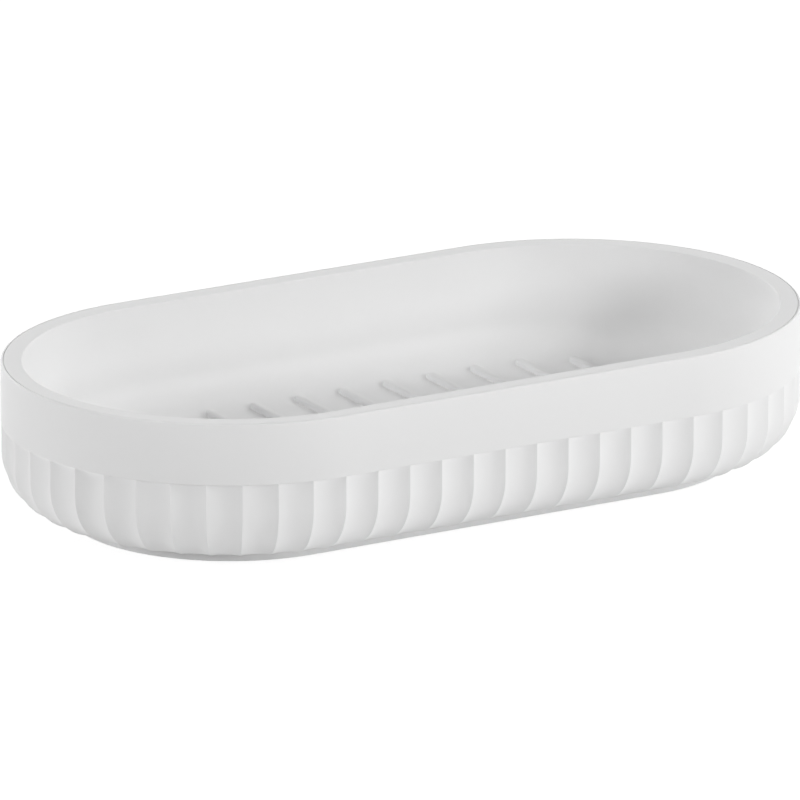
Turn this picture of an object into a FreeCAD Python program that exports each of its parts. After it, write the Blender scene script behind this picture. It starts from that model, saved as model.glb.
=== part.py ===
import FreeCAD, Part
import math
import os

import Sketcher

# A soap dish with a smooth band round its top, fluted sides that curl in to a smaller foot,
# and a bowl with raised ribs. Its plan is a stadium: each outline lies at one distance, called
# its radius here, from the spine, the line that joins the middles of the two round ends.
# +X runs along the dish and +Z is up. The origin is on the surface that the dish stands on,
# under its middle. Lengths are in millimetres and angles in degrees.

DRIVING = {
    # The plan of the outside
    "length": 140.0,
    "width": 74.5,
    # The stack, from the surface up to the rim
    "foot_stand": 0.45,
    "plate_thickness": 2.6,
    "under_floor_gap": 3.25,
    "floor_thickness": 1.8,
    "bowl_depth": 18.5,
    # Band and rim
    "band_height": 10.2,
    "skirt_wall": 1.2,
    "rim_thickness": 2.5,
    "rim_outer_round": 0.3,
    "rim_inner_round": 0.3,
    # Bowl
    "bowl_wall": 1.5,
    "bowl_draft": 5.5,
    "bowl_round": 7.0,
    # Soap ribs on the floor of the bowl
    "rib_pitch": 8.48,
    "rib_width": 1.55,
    "rib_height": 1.0,
    "rib_round": 0.5,
    "rib_margin": 10.0,
    "rib_row_margin": 20.0,
    # Flutes and the belly that they follow
    "side_flutes": 11,
    "end_flutes": 20,
    "flute_depth": 0.75,
    "flute_fade": 1.0,
    "belly_stations": 6,
    "belly_lift": 1.8,
    "collar_height": 4.85,
    "band_overhang": 0.04,
    "shell_wall": 1.5,
    "ledge_thickness": 1.0,
    "ledge_width": 1.6,
    # Tongue of the fluted shell, which goes up behind the band, and its snap beads
    "fit_gap": 0.1,
    "tongue_height": 4.5,
    "tongue_wall": 0.9,
    "tongue_play": 0.35,
    "snap_radius": 0.6,
    "snap_rise": 0.3,
    "snap_length": 12.0,
    "snap_drop": 1.5,
    "snap_place_share": 0.67,
    # Base plate, with the pegs that go up into the bosses under the bowl
    "plate_margin": 10.55,
    "plate_round": 0.2,
    "boss_diameter": 6.0,
    "boss_gap": 0.3,
    "bore_roof": 0.7,
    "boss_along_share": 0.67,
    "boss_across_share": 0.52,
    "peg_diameter": 3.0,
    "peg_headroom": 1.0,
    "peg_gap": 0.05,
    "peg_lead": 0.4,
    # Anti-slip feet in recesses under the base plate
    "foot_diameter": 10.0,
    "foot_thickness": 1.1,
    "foot_gap": 0.1,
    "foot_round": 0.3,
    "foot_along_share": 0.23,
    "foot_across_share": 0.48,
}

DERIVED = {
    "spine": "length - width",
    "half_spine": "spine / 2",
    "outer_radius": "width / 2",
    # Levels above the surface
    "plate_top": "foot_stand + plate_thickness",
    "floor_underside": "plate_top + under_floor_gap",
    "floor_level": "floor_underside + floor_thickness",
    "height": "floor_level + bowl_depth",
    "band_level": "height - band_height",
    "rim_underside": "height - rim_thickness",
    "tongue_top": "band_level + tongue_height",
    # Tray
    "skirt_radius": "outer_radius - skirt_wall",
    "channel_depth": "rim_underside - band_level",
    "rim_width": "skirt_wall + fit_gap + tongue_wall + tongue_play + bowl_wall"
                 " - (height - tongue_top) * tan(bowl_draft * 1deg)",
    "bowl_radius": "outer_radius - rim_width",
    "bowl_outer_radius": "bowl_radius + bowl_wall",
    "bowl_outer_depth": "bowl_depth + floor_thickness",
    "bowl_outer_round": "bowl_round + bowl_wall",
    "bowl_foot": "bowl_radius - bowl_depth * tan(bowl_draft * 1deg)",
    "bowl_outer_foot": "bowl_outer_radius - bowl_outer_depth * tan(bowl_draft * 1deg)",
    "rib_reach": "outer_radius - rib_margin",
    "rib_top": "floor_level + rib_height",
    "boss_radius": "boss_diameter / 2",
    "boss_end": "plate_top + boss_gap",
    "boss_height": "floor_underside - boss_end",
    "boss_along": "half_spine * boss_along_share",
    "bore_top": "floor_underside - bore_roof",
    "bore_depth": "bore_top - boss_end",
    "bore_radius": "peg_radius + peg_gap",
    "groove_radius": "snap_radius + fit_gap",
    "groove_length": "snap_length + 2 * fit_gap",
    # Shell
    "ridge_radius": "outer_radius - band_overhang",
    "belly_level": "foot_stand + belly_lift",
    "belly_top": "band_level - collar_height",
    "belly_round": "belly_top - belly_level",
    "belly_centre": "ridge_radius - belly_round",
    "cavity_radius": "ridge_radius - flute_depth - shell_wall",
    "cavity_round": "cavity_radius - belly_centre",
    "cavity_floor": "plate_top + ledge_thickness",
    "cavity_depth": "band_level - cavity_floor",
    "ledge_radius": "plate_radius - ledge_width",
    "seat_radius": "plate_radius + fit_gap",
    "tongue_radius": "skirt_radius - fit_gap",
    "tongue_inner": "tongue_radius - tongue_wall",
    "snap_level": "tongue_top - snap_drop",
    "snap_axis": "tongue_radius + snap_rise - snap_radius",
    "snap_place": "half_spine * snap_place_share",
    # Base plate and feet
    "plate_radius": "outer_radius - plate_margin",
    "boss_across": "plate_radius * boss_across_share",
    "peg_radius": "peg_diameter / 2",
    "peg_height": "under_floor_gap - peg_headroom",
    "peg_top": "plate_top + peg_height",
    "foot_radius": "foot_diameter / 2",
    "recess_radius": "foot_radius + foot_gap",
    "recess_depth": "foot_thickness - foot_stand",
    "foot_along": "half_spine + plate_radius * foot_along_share",
    "foot_across": "plate_radius * foot_across_share",
}

# The numbers by which a sketch knows the ends of a line or an arc, and its own two axes.
START, END, CENTRE = range(1, 4)
X_AXIS, Y_AXIS = range(-1, -3, -1)
ORIGIN = (X_AXIS, START)
UP = FreeCAD.Vector(0, 0, 1)

doc = FreeCAD.newDocument("soap_dish")
sheet = doc.addObject("Spreadsheet::Sheet", "sizes")
sheet_rows = 0


def add_size(alias, content):
    """A named cell in the next row of the sheet."""
    global sheet_rows
    sheet_rows += 1
    sheet.set(f"A{sheet_rows}", alias)
    sheet.set(f"B{sheet_rows}", content)
    sheet.setAlias(f"B{sheet_rows}", alias)


def size(alias):
    return float(sheet.get(alias))


def follow(item, target, alias, sign=""):
    """Ties a property or a sketch's constraint to a named cell."""
    item.setExpression(target, f"{sign}sizes.{alias}")


def new_body(label):
    body = doc.addObject("PartDesign::Body", label)
    body.Label = label
    return body


def plane_of(body, role):
    return next(part for part in body.Origin.OriginFeatures if part.Role == role)


def new_sketch(body, name, role, **offsets):
    """A sketch on one of the body's own planes, moved along x, y or z by named sizes."""
    sketch = body.newObject("Sketcher::SketchObject", name)
    sketch.AttachmentSupport = [(plane_of(body, role), "")]
    sketch.MapMode = "FlatFace"
    for letter, alias in offsets.items():
        sign = "-" if alias.startswith("-") else ""
        follow(sketch, f"AttachmentOffset.Base.{letter}", alias.lstrip("-"), sign)
    return sketch


def constrain(sketch, kind, *places, alias=None):
    """A constraint, which follows a named size where one is given."""
    values = (size(alias),) if alias else ()
    index = sketch.addConstraint(Sketcher.Constraint(kind, *places, *values))
    if alias:
        follow(sketch, f"Constraints[{index}]", alias)


def add_stadium(sketch, radius):
    """Two half circles joined by two straight lines, all at one radius from the spine."""
    reach, half = size(radius), size("half_spine")
    right, left = FreeCAD.Vector(half, 0, 0), FreeCAD.Vector(-half, 0, 0)
    front, back = FreeCAD.Vector(0, -reach, 0), FreeCAD.Vector(0, reach, 0)
    quarter = math.pi / 2
    near, right_end, far, left_end = (sketch.addGeometry(item, False) for item in (
        Part.LineSegment(left + front, right + front),
        Part.ArcOfCircle(Part.Circle(right, UP, reach), -quarter, quarter),
        Part.LineSegment(right + back, left + back),
        Part.ArcOfCircle(Part.Circle(left, UP, reach), quarter, 3 * quarter),
    ))
    constrain(sketch, "Tangent", near, END, right_end, START)
    constrain(sketch, "Tangent", right_end, END, far, START)
    constrain(sketch, "Tangent", far, END, left_end, START)
    constrain(sketch, "Tangent", left_end, END, near, START)
    constrain(sketch, "PointOnObject", right_end, CENTRE, X_AXIS)
    constrain(sketch, "Symmetric", left_end, CENTRE, right_end, CENTRE, *ORIGIN)
    constrain(sketch, "Radius", right_end, alias=radius)
    constrain(sketch, "DistanceX", left_end, CENTRE, right_end, CENTRE, alias="spine")


def stadium(body, name, level, *radii):
    """A level sketch of one stadium outline, or of two with a ring between them."""
    sketch = new_sketch(body, name, "XY_Plane", z=level)
    for radius in radii:
        add_stadium(sketch, radius)
    return sketch


def add_circle(sketch, radius, right, along, up, across):
    """A circle of a named radius; right and up are 1 or -1, and choose the side of the origin."""
    middle = FreeCAD.Vector(right * size(along), up * size(across), 0)
    circle = sketch.addGeometry(Part.Circle(middle, UP, size(radius)), False)
    constrain(sketch, "Radius", circle, alias=radius)
    for kind, side, alias in (("DistanceX", right, along), ("DistanceY", up, across)):
        ends = (*ORIGIN, circle, CENTRE) if side > 0 else (circle, CENTRE, *ORIGIN)
        constrain(sketch, kind, *ends, alias=alias)


def four_circles(body, name, level, radius, along, across):
    """A level sketch of four circles, one in each quarter of the plan."""
    sketch = new_sketch(body, name, "XY_Plane", z=level)
    for right in (1, -1):
        for up in (1, -1):
            add_circle(sketch, radius, right, along, up, across)
    return sketch


def extrude(body, kind, name, sketch, length, **options):
    """A Pad, which goes up from its sketch, or a Pocket, which goes down from it."""
    feature = body.newObject(f"PartDesign::{kind}", name)
    feature.Profile = sketch
    follow(feature, "Length", length)
    for option, setting in options.items():
        setattr(feature, option, setting)
    doc.recompute()
    return feature


def radius_at(point):
    """The distance of a point from the spine, in plan."""
    past_end = max(0, abs(point.x) - size("half_spine"))
    return math.hypot(past_end, point.y)


def level_edges(shape, level):
    """The number and the edge of each edge that lies at one level."""
    slack = size("fit_gap") / 2
    for number, edge in enumerate(shape.Edges, 1):
        places = [vertex.Point for vertex in edge.Vertexes] + [edge.CenterOfMass]
        if all(abs(place.z - level) < slack for place in places):
            yield number, edge


def dress(body, kind, name, chosen, target, alias):
    """A Fillet or a Chamfer of a named size on numbered edges of the body as it stands."""
    base = body.Tip
    feature = body.newObject(f"PartDesign::{kind}", name)
    feature.Base = (base, [f"Edge{number}" for number in chosen])
    follow(feature, target, alias)
    doc.recompute()
    print(name, "on", len(chosen), "edges")


def round_outline(body, name, level, radius, alias):
    """Rounds the edges that run round the dish at a level and a radius."""
    slack = size("fit_gap") / 2
    chosen = [number for number, edge in level_edges(body.Tip.Shape, size(level))
              if all(abs(radius_at(vertex.Point) - size(radius)) < slack for vertex in edge.Vertexes)]
    dress(body, "Fillet", name, chosen, "Radius", alias)


for alias, number in DRIVING.items():
    add_size(alias, str(number))
for alias, formula in DERIVED.items():
    add_size(alias, f"={formula}")
doc.recompute()
print("height", size("height"), "rim width", size("rim_width"), "belly round", size("belly_round"))


def soap_tray():
    """Bowl, rim and band in one moulding, with the soap ribs and the bosses under the floor."""
    body = new_body("soap_tray")
    outline = stadium(body, "band_outline", "band_level", "outer_radius")
    extrude(body, "Pad", "band_block", outline, "band_height")
    outline = stadium(body, "channel_outline", "rim_underside", "skirt_radius")
    extrude(body, "Pocket", "channel", outline, "channel_depth")
    outline = stadium(body, "bowl_outer_outline", "height", "bowl_outer_radius")
    outside = extrude(body, "Pad", "bowl_outside", outline, "bowl_outer_depth", Reversed=True)
    follow(outside, "TaperAngle", "bowl_draft", "-")
    doc.recompute()
    outline = stadium(body, "bowl_outline", "height", "bowl_radius")
    bowl = extrude(body, "Pocket", "bowl", outline, "bowl_depth")
    follow(bowl, "TaperAngle", "bowl_draft", "-")
    doc.recompute()
    round_outline(body, "bowl_round", "floor_level", "bowl_foot", "bowl_round")
    round_outline(body, "bowl_outside_round", "floor_underside", "bowl_outer_foot", "bowl_outer_round")
    round_outline(body, "rim_outer_round", "height", "outer_radius", "rim_outer_round")
    round_outline(body, "rim_inner_round", "height", "bowl_radius", "rim_inner_round")
    soap_ribs(body)
    outline = four_circles(body, "boss_outline", "boss_end", "boss_radius", "boss_along", "boss_across")
    extrude(body, "Pad", "bosses", outline, "boss_height")
    outline = four_circles(body, "bore_outline", "bore_top", "bore_radius", "boss_along", "boss_across")
    extrude(body, "Pocket", "bores", outline, "bore_depth")
    snap_row(body, "Pocket", "snap_groove", "groove_radius", "groove_length")
    return body


def soap_ribs(body):
    """Soap ribs across the floor: bars with rounded tops, which end at one radius from the spine."""
    ribs = []
    pitch = size("rib_pitch")
    pairs = int((size("length") / 2 - size("rib_row_margin")) / pitch + 0.5)
    for number in range(pairs):
        place, reach = f"rib_place_{number}", f"rib_reach_{number}"
        add_size(place, f"=rib_pitch * {number + 0.5}")
        add_size(reach, f"=sqrt(rib_reach ^ 2 - max(0; {place} - half_spine) ^ 2)")
        doc.recompute()
        sketch = new_sketch(body, f"rib_outline_{number}", "XY_Plane", x=place, z="floor_level")
        add_rib_outline(sketch, reach)
        ribs.append(extrude(body, "Pad", f"rib_{number}", sketch, "rib_height"))
    mirror = body.newObject("PartDesign::Mirrored", "other_ribs")
    mirror.Originals = ribs
    mirror.MirrorPlane = (plane_of(body, "YZ_Plane"), [""])
    body.Tip = mirror
    doc.recompute()
    tops = [number for number, edge in level_edges(mirror.Shape, size("rib_top"))]
    dress(body, "Fillet", "rib_rounds", tops, "Radius", "rib_round")


def add_rib_outline(sketch, reach):
    """The plan of a rib: a rectangle with its middle at the sketch's origin."""
    side, end = size("rib_width") / 2, size(reach)
    corners = [FreeCAD.Vector(right * side, up * end, 0) for right, up in ((-1, -1), (1, -1), (1, 1), (-1, 1))]
    near, right, far, left = (sketch.addGeometry(Part.LineSegment(first, second), False)
                              for first, second in zip(corners, corners[1:] + corners[:1]))
    for first, second in ((near, right), (right, far), (far, left), (left, near)):
        constrain(sketch, "Coincident", first, END, second, START)
    for edge in (near, far):
        constrain(sketch, "Horizontal", edge)
    for edge in (right, left):
        constrain(sketch, "Vertical", edge)
    constrain(sketch, "Symmetric", near, START, far, START, *ORIGIN)
    constrain(sketch, "DistanceX", near, START, near, END, alias="rib_width")
    constrain(sketch, "DistanceY", *ORIGIN, far, START, alias=reach)


def snap_row(body, kind, name, radius, length):
    """Round bars along both long sides, at each snap: beads if added, grooves if cut."""
    for number, along in enumerate(("-snap_place", "", "snap_place")):
        offsets = {"z": along} if along else {}
        sketch = new_sketch(body, f"{name}_outline_{number}", "YZ_Plane", **offsets)
        for side in (1, -1):
            add_circle(sketch, radius, side, "snap_axis", 1, "snap_level")
        extrude(body, kind, f"{name}_{number}", sketch, length, SideType="Symmetric")


def flute_outline(label, share):
    """
    One closed outline round the flutes, with a ridge at each joint of its arcs.

    share goes from 0 where the belly leaves the collar to 1 where it lies level. The ridges
    follow the belly's round, and each hollow is sunk along the belly's own slope, less and
    less towards the foot, where the arcs have become straight.
    """
    turn = share * math.pi / 2
    out, down = math.cos(turn), math.sin(turn)
    radius = size("belly_centre") + size("belly_round") * out
    level = size("belly_top") - size("belly_round") * down
    depth = size("flute_depth") * max(0, out) ** size("flute_fade")
    half = size("half_spine")
    side, end = int(size("side_flutes")), int(size("end_flutes"))
    ridges = []
    for sign in (1, -1):
        for number in range(side):
            along = half * (2 * number / side - 1)
            ridges.append(FreeCAD.Vector(sign * along, -sign * radius, level))
        for number in range(end):
            angle = math.pi * number / end
            ridges.append(FreeCAD.Vector(sign * (half + radius * math.sin(angle)),
                                         -sign * radius * math.cos(angle), level))
    edges = []
    for first, second in zip(ridges, ridges[1:] + ridges[:1]):
        inward = UP.cross(second - first).normalize()
        sunk = (first + second) / 2 + (inward * out + UP * down) * depth
        if share < 1:
            edges.append(Part.Arc(first, sunk, second).toShape())
        else:
            edges.append(Part.LineSegment(first, second).toShape())
    outline = doc.addObject("Part::Feature", label)
    outline.Shape = Part.Wire(edges)
    return outline


def fluted_block():
    """The fluted outside as a solid: an upright collar, and a belly that curls in below it."""
    stations = int(size("belly_stations"))
    outlines = [flute_outline(f"belly_outline_{step}", step / stations) for step in range(stations + 1)]
    belly = doc.addObject("Part::Loft", "belly")
    belly.Sections = outlines
    belly.Solid = True
    collar = doc.addObject("Part::Extrusion", "collar")
    collar.Base = outlines[0]
    collar.DirMode = "Custom"
    collar.Dir = UP
    collar.Solid = True
    follow(collar, "LengthFwd", "collar_height")
    block = doc.addObject("Part::Fuse", "fluted_block")
    block.Base = belly
    block.Tool = collar
    doc.recompute()
    print("belly", belly.Shape.isValid(), belly.Shape.Volume, "block", block.Shape.isValid(),
          len(block.Shape.Solids), block.Shape.Volume - belly.Shape.Volume - collar.Shape.Volume)
    return block


def cavity():
    """The room inside the fluted shell, with its lower edge rounded like the belly."""
    body = new_body("cavity")
    outline = stadium(body, "cavity_outline", "cavity_floor", "cavity_radius")
    extrude(body, "Pad", "cavity_block", outline, "cavity_depth")
    round_outline(body, "cavity_round", "cavity_floor", "cavity_radius", "cavity_round")
    return body


def fluted_shell():
    """The fluted outside made hollow, with a ledge for the base plate and a tongue at its top."""
    hollow = doc.addObject("Part::Cut", "hollow_block")
    hollow.Base = fluted_block()
    hollow.Tool = cavity()
    body = new_body("fluted_shell")
    body.BaseFeature = hollow
    doc.recompute()
    outline = stadium(body, "ledge_outline", "cavity_floor", "ledge_radius")
    extrude(body, "Pocket", "opening", outline, "cavity_floor")
    outline = stadium(body, "seat_outline", "plate_top", "seat_radius")
    extrude(body, "Pocket", "plate_seat", outline, "plate_top")
    outline = stadium(body, "tongue_outline", "band_level", "tongue_radius", "tongue_inner")
    extrude(body, "Pad", "tongue", outline, "tongue_height")
    snap_row(body, "Pad", "snap_bead", "snap_radius", "snap_length")
    return body


def base_plate():
    """The flat plate that closes the bottom, with four pegs above and four recesses below."""
    body = new_body("base_plate")
    outline = stadium(body, "plate_outline", "foot_stand", "plate_radius")
    extrude(body, "Pad", "plate", outline, "plate_thickness")
    round_outline(body, "plate_round", "foot_stand", "plate_radius", "plate_round")
    outline = four_circles(body, "peg_outline", "plate_top", "peg_radius", "boss_along", "boss_across")
    pegs = extrude(body, "Pad", "pegs", outline, "peg_height")
    tops = [number for number, edge in level_edges(pegs.Shape, size("peg_top"))]
    dress(body, "Chamfer", "peg_leads", tops, "Size", "peg_lead")
    outline = four_circles(body, "recess_outline", "foot_thickness", "recess_radius", "foot_along",
                           "foot_across")
    extrude(body, "Pocket", "recesses", outline, "recess_depth")
    return body


def foot(label, right, back):
    """One round anti-slip pad; right and back are 1 or -1, and choose its corner of the plate."""
    body = new_body(label)
    sketch = new_sketch(body, f"{label}_outline", "XY_Plane")
    circle = sketch.addGeometry(Part.Circle(FreeCAD.Vector(), UP, size("foot_radius")), False)
    constrain(sketch, "Coincident", circle, CENTRE, *ORIGIN)
    constrain(sketch, "Radius", circle, alias="foot_radius")
    pad = extrude(body, "Pad", f"{label}_pad", sketch, "foot_thickness")
    rim = [number for number, edge in level_edges(pad.Shape, 0)]
    dress(body, "Fillet", f"{label}_round", rim, "Radius", "foot_round")
    follow(body, "Placement.Base.x", "foot_along", "" if right > 0 else "-")
    follow(body, "Placement.Base.y", "foot_across", "" if back > 0 else "-")
    doc.recompute()
    return body


parts = [
    soap_tray(),
    fluted_shell(),
    base_plate(),
    foot("foot_front_left", -1, -1),
    foot("foot_front_right", 1, -1),
    foot("foot_back_left", -1, 1),
    foot("foot_back_right", 1, 1),
]
doc.recompute()
for item in doc.Objects:
    if "Invalid" in item.State or "Error" in item.State:
        raise RuntimeError(f"{item.Label} could not be built: {item.State}")
for part in parts:
    shape = part.Shape
    if shape.isNull() or not shape.isValid() or len(shape.Solids) != 1:
        raise RuntimeError(f"{part.Label} is not one sound solid")
os.makedirs("parts", exist_ok=True)
for part in parts:
    part.Shape.exportStep(f"parts/{part.Label}.step")
    box = part.Shape.BoundBox
    print(f"{part.Label}: {part.Shape.Volume:.1f} mm3, {len(part.Shape.Faces)} faces,",
          f"x {box.XMin:.2f} to {box.XMax:.2f}, y {box.YMin:.2f} to {box.YMax:.2f},",
          f"z {box.ZMin:.2f} to {box.ZMax:.2f}")
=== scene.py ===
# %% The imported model
import math

import bmesh
import bpy
from mathutils import Matrix, Vector


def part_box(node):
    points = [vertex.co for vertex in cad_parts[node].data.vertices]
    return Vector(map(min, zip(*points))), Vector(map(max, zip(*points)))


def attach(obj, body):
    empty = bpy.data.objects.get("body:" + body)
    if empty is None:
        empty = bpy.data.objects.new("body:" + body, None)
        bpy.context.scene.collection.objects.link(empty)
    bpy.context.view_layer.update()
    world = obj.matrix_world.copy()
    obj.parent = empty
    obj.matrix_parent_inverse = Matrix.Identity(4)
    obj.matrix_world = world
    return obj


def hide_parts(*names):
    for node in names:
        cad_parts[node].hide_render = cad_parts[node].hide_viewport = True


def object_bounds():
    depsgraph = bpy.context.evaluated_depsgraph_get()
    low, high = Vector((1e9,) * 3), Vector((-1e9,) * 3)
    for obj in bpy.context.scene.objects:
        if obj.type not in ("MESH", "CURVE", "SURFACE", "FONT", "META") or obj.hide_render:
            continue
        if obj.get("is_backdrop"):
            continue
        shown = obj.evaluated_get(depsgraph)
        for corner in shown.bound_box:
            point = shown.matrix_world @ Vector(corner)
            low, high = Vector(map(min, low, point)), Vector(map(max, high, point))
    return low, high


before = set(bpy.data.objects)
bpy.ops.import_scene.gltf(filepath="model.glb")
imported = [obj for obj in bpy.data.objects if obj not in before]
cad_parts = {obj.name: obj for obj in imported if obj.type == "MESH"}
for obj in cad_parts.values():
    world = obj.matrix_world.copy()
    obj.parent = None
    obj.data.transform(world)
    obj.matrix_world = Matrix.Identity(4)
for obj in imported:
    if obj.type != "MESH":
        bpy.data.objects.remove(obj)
cad_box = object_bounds()
print("nodes:", ", ".join(sorted(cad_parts)))

# %% [markdown]
# # A fluted soap dish
#
# The real object is a long dish of matt white plastic. Its plan is a stadium: two straight sides
# and two round ends. A smooth band goes round its top, fluted sides curl in below the band, and
# raised ribs hold the soap off the floor of the bowl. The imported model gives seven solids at
# their real size. This lesson gives each of them a finer mesh and a finish, in the same place.
#
# Every outline of the dish lies at one distance, called its radius here, from the spine, which is
# the line that joins the middles of the two round ends. So nearly every form is a section, drawn
# as radius and level, that runs round the spine. That one idea makes the tray, the shell, the
# plate, the ribs and the feet, which is why it comes before any of them.

# %% Sizes that the frame gives
MM = 0.001
tray_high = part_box("soap_tray")[1]
shell_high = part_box("fluted_shell")[1]
plate_low, plate_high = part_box("base_plate")
foot_low, foot_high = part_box("foot_back_right")

OUTER_RADIUS = tray_high.y
HALF_SPINE = tray_high.x - tray_high.y
RIM_LEVEL = tray_high.z
RIDGE_RADIUS = shell_high.y
TONGUE_TOP = shell_high.z
PLATE_RADIUS = plate_high.y
PLATE_UNDERSIDE = plate_low.z
PEG_TOP = plate_high.z
FOOT_RADIUS = (foot_high.x - foot_low.x) / 2
FOOT_TOP = foot_high.z
FOOT_ALONG = (foot_high.x + foot_low.x) / 2
FOOT_ACROSS = (foot_high.y + foot_low.y) / 2
print(f"half spine {HALF_SPINE / MM:.2f} mm, outer radius {OUTER_RADIUS / MM:.2f} mm")

# %% [markdown]
# ## Node trees in words
#
# A finish is a tree of shader nodes, and a rule for a shape is a tree of geometry nodes. Trees can
# be drawn by hand in the editor, but a script has to place and join each node. A few small helpers
# keep that readable: one makes a tree with named inputs, one feeds a socket, one adds a node with
# its inputs fed, and the others do a step of arithmetic on numbers or on vectors, so that a formula
# in the script looks like a formula.

# %% Helpers for node trees
def new_tree(name, kind, inputs, outputs):
    """A tree, the sockets that bring its named inputs in, and those that take its results out."""
    tree = bpy.data.node_groups.new(name, kind)
    for way, sockets in (("INPUT", inputs), ("OUTPUT", outputs)):
        for label, form in sockets.items():
            tree.interface.new_socket(label, in_out=way, socket_type=f"NodeSocket{form}")
    return tree, tree.nodes.new("NodeGroupInput").outputs, tree.nodes.new("NodeGroupOutput").inputs


def feed(tree, socket, source):
    """Joins a socket to its source, or sets it where the source is a plain value."""
    if isinstance(source, bpy.types.NodeSocket):
        tree.links.new(source, socket)
    else:
        socket.default_value = source


def add(tree, kind, feeds=None, **settings):
    """A node with its settings, and with its inputs fed by name or by number."""
    node = tree.nodes.new(kind)
    for name, setting in settings.items():
        setattr(node, name, setting)
    for key, source in (feeds or {}).items():
        feed(tree, node.inputs[key], source)
    return node


def calc(tree, operation, *sources):
    """One step of arithmetic on sockets or numbers."""
    return add(tree, "ShaderNodeMath", dict(enumerate(sources)), operation=operation).outputs[0]


def scaled(tree, vector, factor):
    """A vector times a number."""
    return add(tree, "ShaderNodeVectorMath", {0: vector, "Scale": factor}, operation="SCALE").outputs[0]


def vector_of(tree, **parts):
    """A vector from its parts X, Y and Z, where a part that isn't named is zero."""
    return add(tree, "ShaderNodeCombineXYZ", parts).outputs[0]


# %% [markdown]
# ## The skin of a moulding
#
# The dish is moulded in a mould whose walls were made matt, so its surface has a grain of fine
# pits, about a fifth of a millimetre apart, that spreads the light and hides finger marks. The
# plastic also flows and cools unevenly, which leaves its tone and its gloss a little uneven over
# a few centimetres. The rubber feet have the same kind of skin with other numbers. So the grain
# is a node group with named inputs, built once and placed in both finishes. It gives only a
# colour, a roughness and a height, and the shader itself stays in each material.

# %% The group for a moulded skin
# A Mix node that mixes colours has them at these places among its sockets.
MIX_FIRST = 6
MIX_SECOND = 7
MIX_RESULT = 2


def moulded_skin():
    """A shader group: fine grain for the bump, and slow, faint changes of tone and gloss."""
    tree, given, result = new_tree(
        "moulded_skin", "ShaderNodeTree",
        {"Vector": "Vector", "Grain Size": "Float", "Flow Size": "Float",
         "Light Tone": "Color", "Dark Tone": "Color",
         "Low Roughness": "Float", "High Roughness": "Float"},
        {"Color": "Color", "Roughness": "Float", "Height": "Float"})

    def noise(spacing, detail):
        place = scaled(tree, given["Vector"], calc(tree, "DIVIDE", 1, spacing))
        return add(tree, "ShaderNodeTexNoise",
                   {"Vector": place, "Scale": 1, "Detail": detail}).outputs["Fac"]

    flow = noise(given["Flow Size"], detail=2)
    grain = noise(given["Grain Size"], detail=1)
    tone = add(tree, "ShaderNodeMix",
               {0: flow, MIX_FIRST: given["Dark Tone"], MIX_SECOND: given["Light Tone"]},
               data_type="RGBA")
    feed(tree, result["Color"], tone.outputs[MIX_RESULT])
    gloss = add(tree, "ShaderNodeMapRange",
                {"Value": flow, "To Min": given["High Roughness"], "To Max": given["Low Roughness"]})
    feed(tree, result["Roughness"], gloss.outputs["Result"])
    feed(tree, result["Height"], grain)
    return tree


SKIN = moulded_skin()
print("group", SKIN.name, "with", len(SKIN.nodes), "nodes")

# %% [markdown]
# ## The two finishes
#
# White plastic and pale rubber differ in tone, in gloss and in how coarse their grain is. Each
# material holds its own Principled shader and takes colour, roughness and grain from the group.
# The grain feeds a Bump node, whose distance is the real depth of the pits. Object coordinates
# are used because each piece has its origin at the origin of the dish, so that the grain has the
# same size on all of them.

# %% Finishes
FLOW_SIZE = 45 * MM


def moulded_finish(name, light, dark, low_roughness, high_roughness, grain_size, grain_depth, ior):
    """A moulded material, with greys for its light and dark tone and its grain in metres."""
    material = bpy.data.materials.new(name)
    material.use_nodes = True
    tree = material.node_tree
    shader = tree.nodes["Principled BSDF"]
    place = add(tree, "ShaderNodeTexCoord").outputs["Object"]
    skin = add(tree, "ShaderNodeGroup", node_tree=SKIN)
    for label, source in (("Vector", place), ("Grain Size", grain_size), ("Flow Size", FLOW_SIZE),
                          ("Light Tone", (*light, 1)), ("Dark Tone", (*dark, 1)),
                          ("Low Roughness", low_roughness), ("High Roughness", high_roughness)):
        feed(tree, skin.inputs[label], source)
    bump = add(tree, "ShaderNodeBump", {"Strength": 1, "Distance": grain_depth,
                                        "Height": skin.outputs["Height"]})
    feed(tree, shader.inputs["Base Color"], skin.outputs["Color"])
    feed(tree, shader.inputs["Roughness"], skin.outputs["Roughness"])
    feed(tree, shader.inputs["Normal"], bump.outputs["Normal"])
    shader.inputs["IOR"].default_value = ior
    return material


WHITE = moulded_finish("white_moulding_finish", light=(0.862, 0.862, 0.862), dark=(0.85, 0.85, 0.85),
                       low_roughness=0.5, high_roughness=0.58,
                       grain_size=0.22 * MM, grain_depth=0.003 * MM, ior=1.5)
RUBBER = moulded_finish("foot_rubber_finish", light=(0.73, 0.73, 0.72), dark=(0.7, 0.7, 0.69),
                        low_roughness=0.72, high_roughness=0.85,
                        grain_size=0.35 * MM, grain_depth=0.008 * MM, ior=1.52)
print("finishes:", WHITE.name, RUBBER.name)

# %% [markdown]
# ## A section that runs round the spine
#
# A lathe turns a section about a point. Here the section goes round a line instead, so a round end
# is half a lathe and a straight side is a plain extrusion. Blender's own Spin could make the ends
# and an extrusion the sides, and the four pieces would then have to be welded. A short function in
# mesh code makes the whole ring at once, with its faces evenly laid. Where the spine has no length
# the same function is a lathe, and it turns the feet, the bosses and the pegs.

# %% Section helpers
WELD = 0.0002 * MM
END_STEPS = 96


def arc(middle, radius, start, end, steps):
    """Points of an arc in a section; angles in degrees, where 0 points outwards and 90 up."""
    turns = [math.radians(start + (end - start) * step / steps) for step in range(steps + 1)]
    return [(middle[0] + radius * math.cos(turn), middle[1] + radius * math.sin(turn)) for turn in turns]


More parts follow.
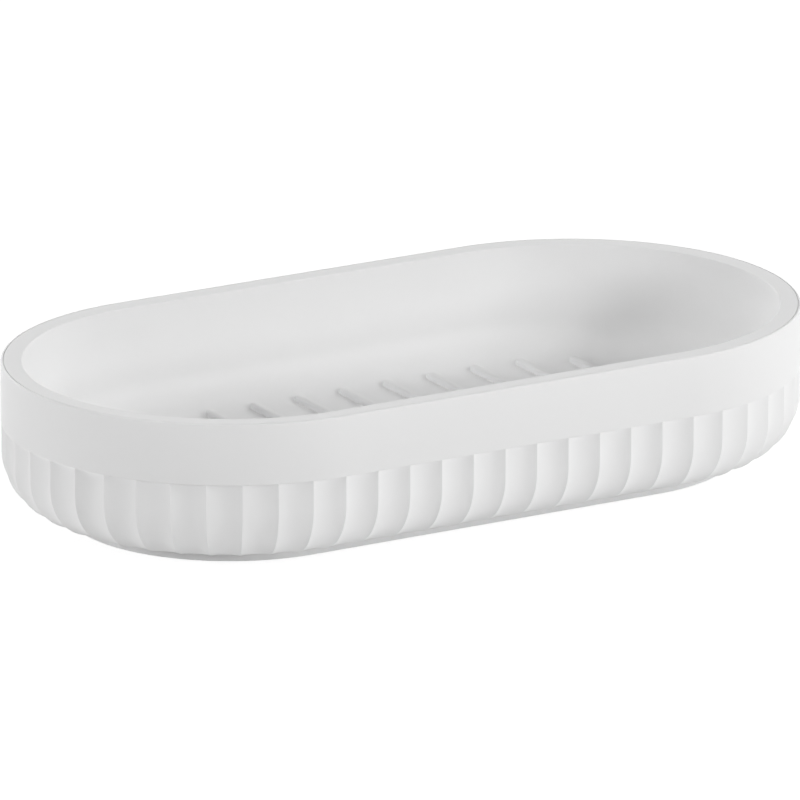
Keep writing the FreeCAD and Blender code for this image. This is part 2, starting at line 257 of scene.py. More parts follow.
def stops(half_spine):
    """The stops of a section round the spine: a place on it, and where the radius points."""
    route = []
    for sign in (1, -1):
        route.append((-sign * half_spine, -sign * math.pi / 2))
        for step in range(END_STEPS):
            route.append((sign * half_spine, math.pi * (step / END_STEPS - sign / 2)))
    return route


def link(name, data):
    """An object in the scene for a mesh, a lamp or a camera."""
    obj = bpy.data.objects.new(name, data)
    bpy.context.collection.objects.link(obj)
    return obj


def sweep(name, section, half_spine=0):
    """A closed mesh from a section of (radius, level) points, capped where it starts and ends."""
    shape = bmesh.new()
    rings = [[shape.verts.new((place + radius * math.cos(turn), radius * math.sin(turn), level))
              for place, turn in stops(half_spine)] for radius, level in section]
    for lower, upper in zip(rings, rings[1:]):
        for here in range(len(lower)):
            shape.faces.new((lower[here - 1], lower[here], upper[here], upper[here - 1]))
    shape.faces.new(rings[0])
    shape.faces.new(rings[-1])
    bmesh.ops.remove_doubles(shape, verts=shape.verts, dist=WELD)
    bmesh.ops.recalc_face_normals(shape, faces=shape.faces)
    mesh = bpy.data.meshes.new(name)
    shape.to_mesh(mesh)
    shape.free()
    return link(name, mesh)


# %% [markdown]
# ## From a rule to a plain mesh
#
# A modifier is a recipe that Blender follows each time it looks at an object. The parts library
# needs the result and not the recipe, so each modifier is followed once and then removed. After
# that, edges that turn by more than a set angle are marked sharp, and all others are shaded
# smooth, which is how a moulding looks: long soft curves with a few crisp edges.

# %% Baking helpers
SHARP_ANGLE = math.radians(28)


def bake(obj):
    """Puts the plain mesh that the modifiers make in the place of the object's own."""
    graph = bpy.context.evaluated_depsgraph_get()
    mesh = bpy.data.meshes.new_from_object(obj.evaluated_get(graph))
    obj.modifiers.clear()
    obj.data = mesh


def grow(obj, tree, **sizes):
    """Runs a geometry tree on an object; each size names an input, with _ for a space."""
    modifier = obj.modifiers.new(tree.name, "NODES")
    modifier.node_group = tree
    for item in tree.interface.items_tree:
        if item.in_out == "INPUT" and item.name.replace(" ", "_") in sizes:
            modifier[item.identifier] = sizes[item.name.replace(" ", "_")]
    bake(obj)
    return obj


def combine(obj, tool, operation):
    """Joins a tool to a piece with UNION, or cuts it out with DIFFERENCE, and removes the tool."""
    modifier = obj.modifiers.new("combine", "BOOLEAN")
    modifier.operation = operation
    modifier.solver = "EXACT"
    modifier.object = tool
    bake(obj)
    bpy.data.objects.remove(tool)


def finish_mesh(obj):
    """Smooth shading with crisp edges, and nothing kept that only a tree needed."""
    mesh = obj.data
    for label in ("outward", "depth_share", "rib_place"):
        if label in mesh.attributes:
            mesh.attributes.remove(mesh.attributes[label])
    mesh.shade_smooth()
    mesh.set_sharp_from_angle(angle=SHARP_ANGLE)
    shape = bmesh.new()
    shape.from_mesh(mesh)
    loose = sum(1 for edge in shape.edges if not edge.is_manifold)
    print(f"{obj.name}: {len(shape.faces)} faces, {shape.calc_volume() / MM ** 3:.0f} mm3, "
          f"{loose} open edges")
    shape.free()


# %% [markdown]
# ## The tray: bowl, rim and band
#
# The upper moulding is a shell that folds over: the wall of the bowl comes up, turns over the flat
# rim and goes down again as the smooth band. Bowl and band are one moulding on the real dish, so
# here too one section holds both. Its walls lean by 5.5 degrees so that the bowl leaves its mould,
# and the foot of the wall turns into the floor with a large round. A hair-fine groove along the
# outer edge of the rim makes the thin dark line that the photograph shows there. The section starts
# and ends a little inside the edge of the floor, so that the flat floor is shaded flat.

# %% Sizes of the tray
BAND_HEIGHT = 10.2 * MM
BAND_LEVEL = RIM_LEVEL - BAND_HEIGHT
BAND_EDGE_ROUND = 0.15 * MM
BAND_EDGE_STEPS = 3
SKIRT_WALL = 1.2 * MM
RIM_WIDTH = 3.5 * MM
RIM_THICKNESS = 2.5 * MM
RIM_OUTER_ROUND = 0.3 * MM
RIM_OUTER_STEPS = 8
RIM_INNER_ROUND = 0.3 * MM
RIM_INNER_STEPS = 6
GROOVE_INSET = 0.45 * MM
GROOVE_HALF = 0.07 * MM
GROOVE_DEPTH = 0.22 * MM
BOWL_RADIUS = OUTER_RADIUS - RIM_WIDTH
BOWL_DEPTH = 18.5 * MM
BOWL_FLOOR = RIM_LEVEL - BOWL_DEPTH
BOWL_WALL = 1.5 * MM
BOWL_ROUND = 7 * MM
BOWL_STEPS = 22
BOWL_DRAFT = 5.5
LEAN = math.tan(math.radians(BOWL_DRAFT))
SQUARE = math.cos(math.radians(BOWL_DRAFT))
FLOOR_THICKNESS = 1.8 * MM
FLOOR_UNDERSIDE = BOWL_FLOOR - FLOOR_THICKNESS
FLOOR_MARGIN = 0.8 * MM
print(f"bowl {BOWL_DEPTH / MM:.1f} mm deep, band {BAND_HEIGHT / MM:.1f} mm high")


# %% The tray's section
def wall_round(top_radius, floor, radius):
    """The round between a leaning wall and a floor, from the floor up to the wall."""
    level = floor + radius
    middle = top_radius - (RIM_LEVEL - level) * LEAN - radius / SQUARE
    return arc((middle, level), radius, -90, -BOWL_DRAFT, BOWL_STEPS)


def tray_section():
    """The section from the bowl's floor up, over the rim, down the band and back under the floor."""
    inside = wall_round(BOWL_RADIUS, BOWL_FLOOR, BOWL_ROUND)
    inner_edge = (BOWL_RADIUS - RIM_INNER_ROUND * LEAN + RIM_INNER_ROUND / SQUARE,
                  RIM_LEVEL - RIM_INNER_ROUND)
    groove = OUTER_RADIUS - GROOVE_INSET
    outer_edge = (OUTER_RADIUS - RIM_OUTER_ROUND, RIM_LEVEL - RIM_OUTER_ROUND)
    band_edge = (OUTER_RADIUS - BAND_EDGE_ROUND, BAND_LEVEL + BAND_EDGE_ROUND)
    skirt = OUTER_RADIUS - SKIRT_WALL
    under_rim = RIM_LEVEL - RIM_THICKNESS
    outside = wall_round(BOWL_RADIUS + BOWL_WALL, FLOOR_UNDERSIDE, BOWL_ROUND + BOWL_WALL)
    return [
        (inside[0][0] - FLOOR_MARGIN, BOWL_FLOOR),
        *inside,
        *arc(inner_edge, RIM_INNER_ROUND, 180 - BOWL_DRAFT, 90, RIM_INNER_STEPS),
        (groove - GROOVE_HALF, RIM_LEVEL),
        (groove - GROOVE_HALF, RIM_LEVEL - GROOVE_DEPTH),
        (groove + GROOVE_HALF, RIM_LEVEL - GROOVE_DEPTH),
        (groove + GROOVE_HALF, RIM_LEVEL),
        *arc(outer_edge, RIM_OUTER_ROUND, 90, 0, RIM_OUTER_STEPS),
        *arc(band_edge, BAND_EDGE_ROUND, 0, -90, BAND_EDGE_STEPS),
        (skirt, BAND_LEVEL),
        (skirt, under_rim),
        (BOWL_RADIUS + BOWL_WALL - RIM_THICKNESS * LEAN, under_rim),
        *reversed(outside),
        (outside[0][0] - FLOOR_MARGIN, FLOOR_UNDERSIDE),
    ]


tray = sweep("soap_tray_moulding", tray_section(), HALF_SPINE)
print("tray:", len(tray.data.polygons), "faces before its ribs")

# %% [markdown]
# ## Twelve soap ribs
#
# The ribs are bars with rounded tops and blunt ends, at one pitch along the floor, and they all
# end at the same distance from the wall, so the outer ones are shorter. Each could be modelled by
# itself. A geometry tree does it by rule: a stub of a rib is set down at each place, and then each
# of its halves is moved out until its end meets the line where the ribs end. Change the pitch or
# the count, and every rib still ends at the right place.

# %% Sizes of the ribs
RIB_COUNT = 12
RIB_PITCH = 8.48 * MM
RIB_WIDTH = 1.55 * MM
RIB_HEIGHT = 1 * MM
RIB_ROUND = 0.5 * MM
RIB_ROUND_STEPS = 6
RIB_SINK = 0.4 * MM
STUB_HALF = 1 * MM
RIB_END_INSET = 10 * MM
RIB_REACH = OUTER_RADIUS - RIB_END_INSET
print(f"the row of ribs is {(RIB_COUNT - 1) * RIB_PITCH / MM:.1f} mm long")


# %% The rib rule
def point_place(tree):
    """Where each point is, as the sockets X, Y and Z."""
    place = add(tree, "GeometryNodeInputPosition").outputs[0]
    return add(tree, "ShaderNodeSeparateXYZ", {0: place}).outputs


def painted(tree, geometry, material):
    """The end of each rule: real faces in the place of instances, with their material."""
    loose = add(tree, "GeometryNodeRealizeInstances", {"Geometry": geometry}).outputs[0]
    return add(tree, "GeometryNodeSetMaterial", {"Geometry": loose, "Material": material}).outputs[0]


def row_of_stubs(tree, given, here):
    """A stub at each place of the row, whose points remember how far along they stand."""
    half_pitch_back = calc(tree, "MULTIPLY", given["Pitch"], -0.5)
    first = calc(tree, "MULTIPLY", calc(tree, "SUBTRACT", given["Count"], 1), half_pitch_back)
    line = add(tree, "GeometryNodeMeshLine",
               {"Count": given["Count"], "Start Location": vector_of(tree, X=first),
                "Offset": vector_of(tree, X=given["Pitch"])})
    marked = add(tree, "GeometryNodeStoreNamedAttribute",
                 {"Geometry": line.outputs[0], "Name": "rib_place", "Value": here["X"]})
    stubs = add(tree, "GeometryNodeInstanceOnPoints",
                {"Points": marked.outputs[0], "Instance": given["Stub"]})
    return add(tree, "GeometryNodeRealizeInstances", {"Geometry": stubs.outputs[0]}).outputs[0]


def rib_row():
    """A geometry tree: a row of ribs from one stub, each as long as its place allows."""
    tree, given, result = new_tree(
        "rib_row", "GeometryNodeTree",
        {"Stub": "Geometry", "Count": "Int", "Pitch": "Float", "Half Spine": "Float", "Reach": "Float",
         "Stub Half": "Float", "Material": "Material"},
        {"Ribs": "Geometry"})
    here = point_place(tree)
    stubs = row_of_stubs(tree, given, here)
    place = add(tree, "GeometryNodeInputNamedAttribute", {"Name": "rib_place"}).outputs[0]
    past_end = calc(tree, "SUBTRACT", calc(tree, "ABSOLUTE", place), given["Half Spine"])
    past_end = calc(tree, "MAXIMUM", 0, past_end)
    tip = calc(tree, "SQRT", calc(tree, "SUBTRACT", calc(tree, "MULTIPLY", given["Reach"], given["Reach"]),
                                  calc(tree, "MULTIPLY", past_end, past_end)))
    shift = calc(tree, "MULTIPLY", calc(tree, "SUBTRACT", tip, given["Stub Half"]),
                 calc(tree, "SIGN", here["Y"]))
    ribs = add(tree, "GeometryNodeSetPosition", {"Geometry": stubs, "Offset": vector_of(tree, Y=shift)})
    feed(tree, result["Ribs"], painted(tree, ribs.outputs[0], given["Material"]))
    return tree


# %% The ribs on the floor
def rib_stub():
    """A short rib that starts under the floor, with all its edges rounded but the lowest."""
    low, high = BOWL_FLOOR - RIB_SINK, BOWL_FLOOR + RIB_HEIGHT
    shape = bmesh.new()
    bmesh.ops.create_cube(shape, size=1)
    place = Matrix.Translation((0, 0, (low + high) / 2))
    shape.transform(place @ Matrix.Diagonal((RIB_WIDTH, STUB_HALF * 2, high - low, 1)))
    edges = [edge for edge in shape.edges if max(corner.co.z for corner in edge.verts) > BOWL_FLOOR]
    bmesh.ops.bevel(shape, geom=edges, offset=RIB_ROUND, segments=RIB_ROUND_STEPS, profile=0.5,
                    affect="EDGES")
    mesh = bpy.data.meshes.new("ribs")
    shape.to_mesh(mesh)
    shape.free()
    return link("ribs", mesh)


ribs = rib_stub()
grow(ribs, rib_row(), Count=RIB_COUNT, Pitch=RIB_PITCH, Half_Spine=HALF_SPINE, Reach=RIB_REACH,
     Stub_Half=STUB_HALF, Material=WHITE)
print("ribs:", RIB_COUNT, "with", len(ribs.data.polygons), "faces")

# %% [markdown]
# ## Four of a kind
#
# The bosses under the bowl, the pegs that stand in them, the feet and their recesses all come in
# fours, one in each quarter of the plan. One small tree sets any of them down: its points are the
# corners of a grid, and what it sets down is the object that it runs on.

# %% The rule for four places
def four_places():
    """A geometry tree: a copy of the object in each quarter of the plan."""
    tree, given, result = new_tree(
        "four_places", "GeometryNodeTree",
        {"Piece": "Geometry", "Along": "Float", "Across": "Float", "Material": "Material"},
        {"Pieces": "Geometry"})
    corners = add(tree, "GeometryNodeMeshGrid",
                  {"Size X": calc(tree, "MULTIPLY", given["Along"], 2),
                   "Size Y": calc(tree, "MULTIPLY", given["Across"], 2), "Vertices X": 2, "Vertices Y": 2})
    copies = add(tree, "GeometryNodeInstanceOnPoints",
                 {"Points": corners.outputs["Mesh"], "Instance": given["Piece"]})
    feed(tree, result["Pieces"], painted(tree, copies.outputs[0], given["Material"]))
    return tree


FOUR_PLACES = four_places()


def set_down(name, section, along, across, material):
    """Four turned pieces from one section, in one mesh."""
    piece = sweep(name, section)
    return grow(piece, FOUR_PLACES, Along=along, Across=across, Material=material)


# %% The bosses, and the whole tray
PLATE_THICKNESS = 2.6 * MM
PLATE_TOP = PLATE_UNDERSIDE + PLATE_THICKNESS
BOSS_ALONG_SHARE = 0.67
BOSS_ACROSS_SHARE = 0.52
BOSS_ALONG = BOSS_ALONG_SHARE * HALF_SPINE
BOSS_ACROSS = BOSS_ACROSS_SHARE * PLATE_RADIUS
BOSS_RADIUS = 3 * MM
BOSS_SINK = 0.7 * MM
BOSS_GAP = 0.3 * MM
BOSS_END = PLATE_TOP + BOSS_GAP
BORE_RADIUS = 1.55 * MM
BORE_ROOF = 0.7 * MM

boss_section = [
    (BOSS_RADIUS, FLOOR_UNDERSIDE + BOSS_SINK),
    (BOSS_RADIUS, BOSS_END),
    (BORE_RADIUS, BOSS_END),
    (BORE_RADIUS, FLOOR_UNDERSIDE - BORE_ROOF),
]
bosses = set_down("bosses", boss_section, BOSS_ALONG, BOSS_ACROSS, WHITE)
tray.data.materials.append(WHITE)
combine(tray, ribs, "UNION")
combine(tray, bosses, "UNION")
finish_mesh(tray)

# %% [markdown]
# ## The fluted shell
#
# Under the band, 62 flutes run down the outside: eleven along each side and twenty round each end.
# Their ridges stand upright for a few millimetres and then follow a quarter round in to the foot,
# and the hollows between them fade on the way. Cutting each flute with a tool would leave rough
# seams where the cuts meet. Here the whole shell is one rule. Its section is swept along a straight
# path with a stop at each ridge and more between them, close together near the ridges, where the
# shape turns fast. Each stop then knows how far across its flute it is, and from that how far its
# outside is pressed in. At last the straight strip is wrapped round the spine and its ends are
# welded.

# %% Sizes of the shell
SIDE_FLUTES = 11
END_FLUTES = 20
FLUTE_STOPS = 16
FLUTE_DEPTH = 0.75 * MM
RIDGE_SOFTNESS = 0.03 * MM
COLLAR_HEIGHT = 4.85 * MM
BELLY_TOP = BAND_LEVEL - COLLAR_HEIGHT
BELLY_CLEARANCE = 1.8 * MM
BELLY_LEVEL = PLATE_UNDERSIDE + BELLY_CLEARANCE
BELLY_ROUND = BELLY_TOP - BELLY_LEVEL
BELLY_MIDDLE = RIDGE_RADIUS - BELLY_ROUND
BELLY_STEPS = 28
SHELL_WALL = 1.5 * MM
CAVITY_RADIUS = RIDGE_RADIUS - FLUTE_DEPTH - SHELL_WALL
CAVITY_ROUND = CAVITY_RADIUS - BELLY_MIDDLE
CAVITY_STEPS = 16
LEDGE_THICKNESS = 1 * MM
LEDGE_WIDTH = 1.6 * MM
CAVITY_FLOOR = PLATE_TOP + LEDGE_THICKNESS
LEDGE_RADIUS = PLATE_RADIUS - LEDGE_WIDTH
FIT_GAP = 0.1 * MM
SEAT_RADIUS = PLATE_RADIUS + FIT_GAP
TONGUE_RADIUS = OUTER_RADIUS - SKIRT_WALL - FIT_GAP
TONGUE_WALL = 0.9 * MM
print(f"{2 * (SIDE_FLUTES + END_FLUTES)} flutes, belly round {BELLY_ROUND / MM:.2f} mm")


# %% The shell's section
def shell_section():
    """Rows of radius, level, share of the flute's depth, and the way out; the outside comes first."""
    belly = arc((BELLY_MIDDLE, BELLY_TOP), BELLY_ROUND, -90, 0, BELLY_STEPS)
    outside = [(SEAT_RADIUS, BELLY_LEVEL), *belly, (RIDGE_RADIUS, BAND_LEVEL)]
    inside = [
        (TONGUE_RADIUS, BAND_LEVEL),
        (TONGUE_RADIUS, TONGUE_TOP),
        (TONGUE_RADIUS - TONGUE_WALL, TONGUE_TOP),
        (TONGUE_RADIUS - TONGUE_WALL, BAND_LEVEL),
        (CAVITY_RADIUS, BAND_LEVEL),
        *arc((BELLY_MIDDLE, CAVITY_FLOOR + CAVITY_ROUND), CAVITY_ROUND, 0, -90, CAVITY_STEPS),
        (LEDGE_RADIUS, CAVITY_FLOOR),
        (LEDGE_RADIUS, PLATE_TOP),
        (SEAT_RADIUS, PLATE_TOP),
    ]
    rows = []
    for radius, level in outside:
        out = min(1, max(0, (radius - BELLY_MIDDLE) / BELLY_ROUND))
        down = math.sqrt(1 - out * out)
        rows.append((radius, level, out, (0, -out, -down)))
    rows.extend((radius, level, 0, (0, 0, 0)) for radius, level in inside)
    return rows


def section_object(name, rows):
    """A closed line of edges that holds the section and its two attributes."""
    mesh = bpy.data.meshes.new(name)
    # The path runs along X, and the sweep turns the section's own X to -Y and its Y to -Z.
    points = [(radius, -level, 0) for radius, level, _, _ in rows]
    edges = [(number, (number + 1) % len(rows)) for number in range(len(rows))]
    mesh.from_pydata(points, edges, [])
    shares = mesh.attributes.new("depth_share", "FLOAT", "POINT")
    shares.data.foreach_set("value", [share for _, _, share, _ in rows])
    ways_out = mesh.attributes.new("outward", "FLOAT_VECTOR", "POINT")
    ways_out.data.foreach_set("vector", [part for _, _, _, way_out in rows for part in way_out])
    return link(name, mesh)


# %% The flute rule
def flute_strip(tree, given):
    """The straight strip: the section swept along a path with its stops crowded at the ridges."""
    flutes = calc(tree, "MULTIPLY", calc(tree, "ADD", given["Side Flutes"], given["End Flutes"]), 2)
    count = calc(tree, "MULTIPLY_ADD", flutes, given["Stops"], 1)
    step = vector_of(tree, X=calc(tree, "DIVIDE", 1, given["Stops"]))
    line = add(tree, "GeometryNodeMeshLine", {"Count": count, "Offset": step})
    along = point_place(tree)["X"]
    swing = calc(tree, "COSINE", calc(tree, "MULTIPLY", calc(tree, "FRACT", along), math.pi))
    crowded = calc(tree, "ADD", calc(tree, "FLOOR", along), calc(tree, "MULTIPLY_ADD", swing, -0.5, 0.5))
    path = add(tree, "GeometryNodeSetPosition",
               {"Geometry": line.outputs[0], "Position": vector_of(tree, X=crowded)})
    path = add(tree, "GeometryNodeMeshToCurve", {"Mesh": path.outputs[0]})
    section = add(tree, "GeometryNodeMeshToCurve", {"Mesh": given["Section"]})
    return add(tree, "GeometryNodeCurveToMesh",
               {"Curve": path.outputs[0], "Profile Curve": section.outputs[0]}).outputs[0]


def press_in(tree, given, strip, along):
    """The hollows: a parabola across each flute, softened where it reaches the ridge."""
    across = calc(tree, "FRACT", along)
    bow = calc(tree, "MULTIPLY", calc(tree, "MULTIPLY", across, calc(tree, "SUBTRACT", 1, across)), 4)
    hollow = calc(tree, "MULTIPLY", bow, given["Depth"])
    soft = calc(tree, "SMOOTH_MAX", hollow, 0, given["Ridge Softness"])
    share = add(tree, "GeometryNodeInputNamedAttribute", {"Name": "depth_share"}).outputs[0]
    outward = add(tree, "GeometryNodeInputNamedAttribute", {"Name": "outward"}, data_type="FLOAT_VECTOR")
    pressed = calc(tree, "MULTIPLY", calc(tree, "MULTIPLY", soft, share), -1)
    inward = scaled(tree, outward.outputs[0], pressed)
    return add(tree, "GeometryNodeSetPosition", {"Geometry": strip, "Offset": inward}).outputs[0]


def wrap_round(tree, given, strip, here):
    """The wrap: counts flutes along the sides to walk on the spine, and round the ends to turn."""
    side, end, along = given["Side Flutes"], given["End Flutes"], here["X"]
    half_way = calc(tree, "ADD", side, end)

    def passed(start, most):
        gone = calc(tree, "SUBTRACT", along, start)
        return add(tree, "ShaderNodeClamp", {"Value": gone, "Min": 0, "Max": most}).outputs[0]

    walked = calc(tree, "SUBTRACT", passed(0, side), passed(half_way, side))
    turned = calc(tree, "ADD", passed(side, end), passed(calc(tree, "ADD", half_way, side), end))
    place = calc(tree, "MULTIPLY", given["Half Spine"],
                 calc(tree, "SUBTRACT", calc(tree, "DIVIDE", calc(tree, "MULTIPLY", walked, 2), side), 1))
    turn = calc(tree, "MULTIPLY_ADD", calc(tree, "DIVIDE", turned, end), math.pi, -math.pi / 2)
    radius = calc(tree, "MULTIPLY", here["Y"], -1)
    wrapped = vector_of(tree,
                        X=calc(tree, "MULTIPLY_ADD", radius, calc(tree, "COSINE", turn), place),
                        Y=calc(tree, "MULTIPLY", radius, calc(tree, "SINE", turn)),
                        Z=here["Z"])
    return add(tree, "GeometryNodeSetPosition", {"Geometry": strip, "Position": wrapped}).outputs[0]


def fluted_ring():
    """The whole geometry tree, from a section to a closed ring of flutes."""
    tree, given, result = new_tree(
        "fluted_ring", "GeometryNodeTree",
        {"Section": "Geometry", "Side Flutes": "Int", "End Flutes": "Int", "Stops": "Int",
         "Half Spine": "Float", "Depth": "Float", "Ridge Softness": "Float", "Material": "Material"},
        {"Shell": "Geometry"})
    here = point_place(tree)
    strip = flute_strip(tree, given)
    strip = press_in(tree, given, strip, here["X"])
    ring = wrap_round(tree, given, strip, here)
    welded = add(tree, "GeometryNodeMergeByDistance", {"Geometry": ring, "Distance": WELD})
    feed(tree, result["Shell"], painted(tree, welded.outputs[0], given["Material"]))
    return tree


# %% The shell from its rule
shell = section_object("fluted_shell_moulding", shell_section())
grow(shell, fluted_ring(), Side_Flutes=SIDE_FLUTES, End_Flutes=END_FLUTES, Stops=FLUTE_STOPS,
     Half_Spine=HALF_SPINE, Depth=FLUTE_DEPTH, Ridge_Softness=RIDGE_SOFTNESS, Material=WHITE)
finish_mesh(shell)

# %% [markdown]
# ## The plate and its feet
#
# A flat plate closes the dish from below. Its upright edge is the light line under the flutes, four
# pegs on its top go up into the bosses of the tray, and four recesses in its underside hold the
# feet. The plate is the same kind of sweep as the tray. The pegs are joined to it and the recesses
# are cut out of it with booleans, because these are round tools in a flat face, which is what
# booleans do cleanly. Each foot is a turned pad of soft rubber with a slightly hollow face, so that
# its rim holds on to a wet surface.

# %% Sizes of the plate and the feet
PLATE_ROUND = 0.2 * MM
PLATE_ROUND_STEPS = 8
PLATE_TOP_ROUND = 0.15 * MM
PLATE_TOP_STEPS = 3
CAP_MARGIN = 0.5 * MM
PEG_RADIUS = 1.5 * MM
PEG_LEAD = 0.4 * MM
RECESS_RADIUS = FOOT_RADIUS + FIT_GAP
RECESS_EDGE = 0.12 * MM
FOOT_ROUND = 0.3 * MM
FOOT_ROUND_STEPS = 6
FOOT_RIM = 1.1 * MM
FOOT_HOLLOW = 0.12 * MM
FOOT_SLOPE = FOOT_HOLLOW * 3
print(f"plate {PLATE_THICKNESS / MM:.1f} mm thick, feet {FOOT_TOP / MM:.2f} mm high")

# %% The base plate
plate_section = [
    (PLATE_RADIUS - PLATE_ROUND - CAP_MARGIN, PLATE_UNDERSIDE),
    *arc((PLATE_RADIUS - PLATE_ROUND, PLATE_UNDERSIDE + PLATE_ROUND),
         PLATE_ROUND, -90, 0, PLATE_ROUND_STEPS),
    *arc((PLATE_RADIUS - PLATE_TOP_ROUND, PLATE_TOP - PLATE_TOP_ROUND),
         PLATE_TOP_ROUND, 0, 90, PLATE_TOP_STEPS),
    (PLATE_RADIUS - PLATE_TOP_ROUND - CAP_MARGIN, PLATE_TOP),
]
peg_section = [
    (PEG_RADIUS, PLATE_TOP - PEG_LEAD),
    (PEG_RADIUS, PEG_TOP - PEG_LEAD),
    (PEG_RADIUS - PEG_LEAD, PEG_TOP),
]
recess_section = [
    (RECESS_RADIUS + RECESS_EDGE * 2, PLATE_UNDERSIDE - RECESS_EDGE),
    (RECESS_RADIUS, PLATE_UNDERSIDE + RECESS_EDGE),
    (RECESS_RADIUS, FOOT_TOP),
]
plate = sweep("base_plate_moulding", plate_section, HALF_SPINE)
plate.data.materials.append(WHITE)
pegs = set_down("pegs", peg_section, BOSS_ALONG, BOSS_ACROSS, WHITE)
combine(plate, pegs, "UNION")
recesses = set_down("recesses", recess_section, FOOT_ALONG, FOOT_ACROSS, WHITE)
combine(plate, recesses, "DIFFERENCE")
finish_mesh(plate)

# %% The feet
foot_section = [
    (FOOT_RADIUS - FOOT_RIM - FOOT_SLOPE, FOOT_HOLLOW),
    (FOOT_RADIUS - FOOT_RIM, 0),
    *arc((FOOT_RADIUS - FOOT_ROUND, FOOT_ROUND), FOOT_ROUND, -90, 0, FOOT_ROUND_STEPS),
    (FOOT_RADIUS, FOOT_TOP),
]
feet = set_down("anti_slip_feet", foot_section, FOOT_ALONG, FOOT_ACROSS, RUBBER)
finish_mesh(feet)

# %% [markdown]
# ## What rides on what
#
# Nothing on the dish moves, so all pieces ride on one body. Each piece stands for the solids of
#  the imported model that it replaces.

# %% Ride and replace
FEET = [node for node in sorted(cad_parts) if node.startswith("foot_")]
for piece, nodes, slot in ((tray, ["soap_tray"], "white_moulding"),
                           (shell, ["fluted_shell"], "white_moulding"),
                           (plate, ["base_plate"], "white_moulding"),
                           (feet, FEET, "foot_rubber")):
    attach(piece, "root")
    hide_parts(*nodes)
    print(piece.name, "stands for", ", ".join(nodes))

# %% [markdown]
# ## A white floor that keeps the shadow
#
# The photograph has a plain white ground. More light would whiten the floor, and the dish with it.
# So the floor is white only where the camera or a reflection sees it: Light Path tells the material
# what kind of ray has come. For these the surface glows at nine tenths of white, and a dark matt
# floor is added to that. Where the lamps reach, the two come to full white. Where the dish keeps
# them off, they fall a little short of it, which is the faint shadow. All other light meets a plain
# pale floor, which throws it up under the belly of the dish.

# %% Floor and world
FLOOR_HALF = 2.5
FLOOR_GREY = 0.94
FLOOR_GLOW = 0.9
SHADOW_GREY = 0.25
WORLD_STRENGTH = 0.02


def grey(tone):
    """A grey as a colour with its alpha."""
    return (tone, tone, tone, 1)


def seen_directly(tree):
    """1 for the rays that show the ground itself: from the camera, a reflection or clear plastic."""
    path = add(tree, "ShaderNodeLightPath")
    mirrored = calc(tree, "MAXIMUM", path.outputs["Is Glossy Ray"], path.outputs["Is Transmission Ray"])
    return calc(tree, "MAXIMUM", path.outputs["Is Camera Ray"], mirrored)


def floor_finish():
    """A floor that is white to the camera but for a faint shadow, and pale and matt to other light."""
    material = bpy.data.materials.new("white_ground")
    material.use_nodes = True
    tree = material.node_tree
    tree.nodes.remove(tree.nodes["Principled BSDF"])
    matt = add(tree, "ShaderNodeBsdfDiffuse", {"Color": grey(FLOOR_GREY)})
    shade = add(tree, "ShaderNodeBsdfDiffuse", {"Color": grey(SHADOW_GREY)})
    glow = add(tree, "ShaderNodeEmission", {"Color": grey(1), "Strength": FLOOR_GLOW})
    white = add(tree, "ShaderNodeAddShader", {0: glow.outputs[0], 1: shade.outputs[0]})
    blend = add(tree, "ShaderNodeMixShader",
                {0: seen_directly(tree), 1: matt.outputs[0], 2: white.outputs[0]})
    feed(tree, tree.nodes["Material Output"].inputs["Surface"], blend.outputs[0])
    return material


def white_world():
    """A world that is white to the camera and gives the dish only a faint even light."""
    world = bpy.data.worlds.new("studio")
    world.use_nodes = True
    tree = world.node_tree
    soft = tree.nodes["Background"]
    soft.inputs["Strength"].default_value = WORLD_STRENGTH
    soft.inputs["Color"].default_value = grey(1)
    white = add(tree, "ShaderNodeBackground", {"Color": grey(1), "Strength": 1})
    blend = add(tree, "ShaderNodeMixShader",
                {0: seen_directly(tree), 1: soft.outputs[0], 2: white.outputs[0]})
    feed(tree, tree.nodes["World Output"].inputs["Surface"], blend.outputs[0])
    return world


floor_mesh = bpy.data.meshes.new("ground")
floor_corners = [(-FLOOR_HALF, -FLOOR_HALF, 0), (FLOOR_HALF, -FLOOR_HALF, 0),
                 (FLOOR_HALF, FLOOR_HALF, 0), (-FLOOR_HALF, FLOOR_HALF, 0)]
floor_mesh.from_pydata(floor_corners, [], [(0, 1, 2, 3)])
floor_mesh.materials.append(floor_finish())
floor = link("ground", floor_mesh)
floor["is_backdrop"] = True
bpy.context.scene.world = white_world()
bpy.context.scene.view_settings.view_transform = "Standard"
print("ground:", floor.name, "and world:", bpy.context.scene.world.name)

# %% [markdown]
# ## Soft lamps all round
#
# The photograph has hardly any shadow, but its tones tell where the light came from. The band is
# lightest where it faces front right, so the key lamp stands low in front, a little to the right,
# and a second one stands higher and further to the right. The ribs at the left throw a short shadow
# to their left, and those at the right one to their right, so a lamp stands at each end, with a
# weaker one near it. The rest is a lamp behind, one high above and a faint even world.

# %% Lamps
LAMP_DISTANCE = 1.2


def soft_lamp(name, azimuth, elevation, power, size):
    """A square area lamp that faces the dish; azimuth 0 is the front and 90 the right."""
    lamp = bpy.data.lights.new(name, "AREA")
    lamp.energy = power
    lamp.size = size
    turn, tilt = math.radians(azimuth), math.radians(elevation)
    towards = Vector((math.sin(turn) * math.cos(tilt), -math.cos(turn) * math.cos(tilt), math.sin(tilt)))
    obj = link(name, lamp)
    obj.location = towards * LAMP_DISTANCE
    obj.rotation_euler = towards.to_track_quat("Z", "Y").to_euler()
    print(f"lamp {name}: {power} W")


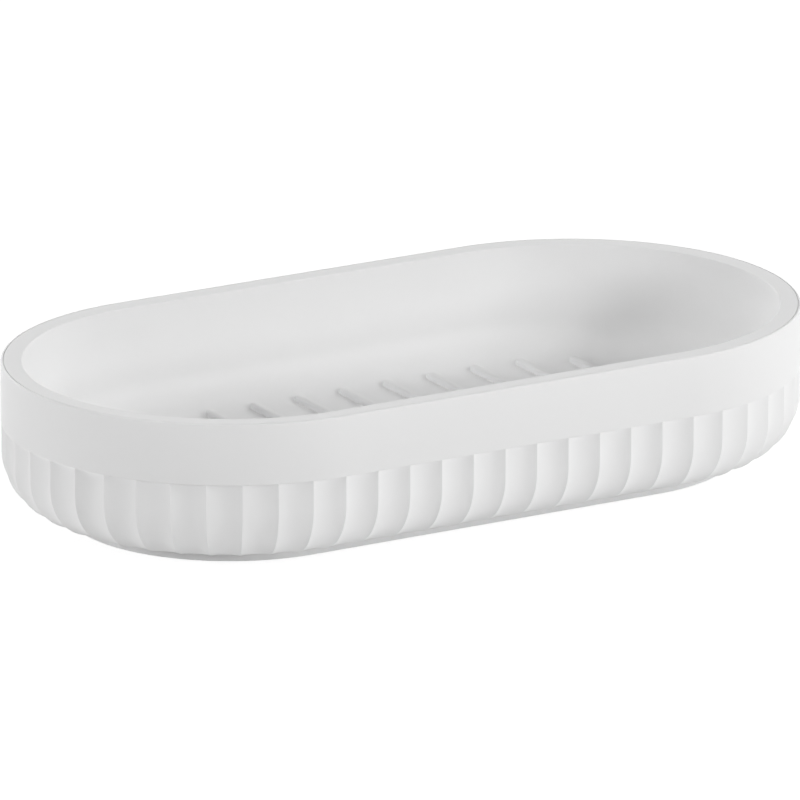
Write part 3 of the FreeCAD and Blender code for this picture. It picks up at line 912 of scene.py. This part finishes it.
soft_lamp("key_front", azimuth=20, elevation=15, power=4.9, size=0.3)
soft_lamp("front_right", azimuth=38, elevation=28, power=2.7, size=0.2)
soft_lamp("high_right", azimuth=75, elevation=35, power=1.2, size=0.3)
soft_lamp("right", azimuth=102, elevation=22, power=2, size=0.2)
soft_lamp("left", azimuth=-90, elevation=18, power=3.3, size=0.3)
soft_lamp("low_back_left", azimuth=-115, elevation=12, power=2.1, size=0.3)
soft_lamp("back", azimuth=180, elevation=30, power=4.3, size=0.5)
soft_lamp("top", azimuth=-60, elevation=75, power=3.4, size=0.6)

# %% [markdown]
# ## The photograph's camera
#
# The dish was photographed from far off with a long lens, which keeps its sides almost parallel.
# The camera's place was found by fitting the outline of the dish and its flutes to the picture.

# %% Camera
VIEW_AZIMUTH = math.radians(-30.754)
VIEW_ELEVATION = math.radians(16.792)
VIEW_ROLL = math.radians(0.128)
VIEW_DISTANCE = 2.1855
VIEW_TARGET = Vector((-0.678, 0, 14.645)) * MM
FOCAL_PIXELS = 13357.2
PICTURE_PIXELS = 800

back = Vector((math.sin(VIEW_AZIMUTH) * math.cos(VIEW_ELEVATION),
               -math.cos(VIEW_AZIMUTH) * math.cos(VIEW_ELEVATION), math.sin(VIEW_ELEVATION)))
right = Vector((math.cos(VIEW_AZIMUTH), math.sin(VIEW_AZIMUTH), 0))
up = back.cross(right)
rolled_right = right * math.cos(VIEW_ROLL) + up * math.sin(VIEW_ROLL)
camera_data = bpy.data.cameras.new("long_lens")
camera_data.lens = camera_data.sensor_width * FOCAL_PIXELS / PICTURE_PIXELS
camera = link("camera", camera_data)
camera.matrix_world = (Matrix.Translation(VIEW_TARGET + back * VIEW_DISTANCE)
                       @ Matrix((rolled_right, back.cross(rolled_right), back)).transposed().to_4x4())
bpy.context.scene.camera = camera
print(f"lens {camera_data.lens:.0f} mm at {VIEW_DISTANCE} m")

# %% [markdown]
# ## The size of the result
#
# New meshes and finishes may not change the size of the dish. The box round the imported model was
# kept in the first cell. It is written down beside the box round the finished dish, so that a
# glance shows whether they are equal.

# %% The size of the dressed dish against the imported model's
bpy.context.view_layer.update()
dressed_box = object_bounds()
for name, corners in (("packed", cad_box), ("dressed", dressed_box)):
    print(name, [[round(number / MM, 3) for number in corner] for corner in corners])
